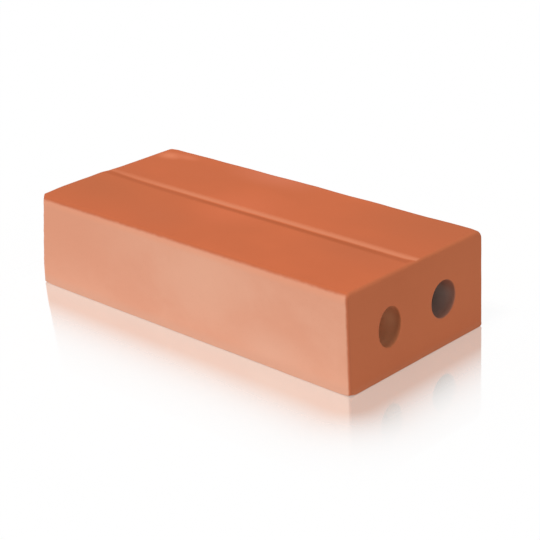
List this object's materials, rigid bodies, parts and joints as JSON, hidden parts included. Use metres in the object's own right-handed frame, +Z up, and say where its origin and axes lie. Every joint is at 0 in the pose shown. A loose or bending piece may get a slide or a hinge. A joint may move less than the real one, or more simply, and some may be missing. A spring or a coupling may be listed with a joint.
{
  "type": "solid clay brick",
  "caption": "Wire-cut fired clay facing brick with lengthwise round cores and a shallow scored line along the top, for laying in mortar.",
  "frame": {"origin": "middle of the bed face that the brick lies on", "axes": "+X along the length, towards the cut end in the picture; +Y towards the back stretcher face; +Z up, out of the scored top face"},
  "size_m": [0.233, 0.105, 0.054],
  "materials": {
    "fired_clay": "unglazed fired clay, orange-red, matt, with paler stretcher faces"
  },
  "bodies": {
    "root": {"brick": "fired_clay"}
  },
  "joints": []
}
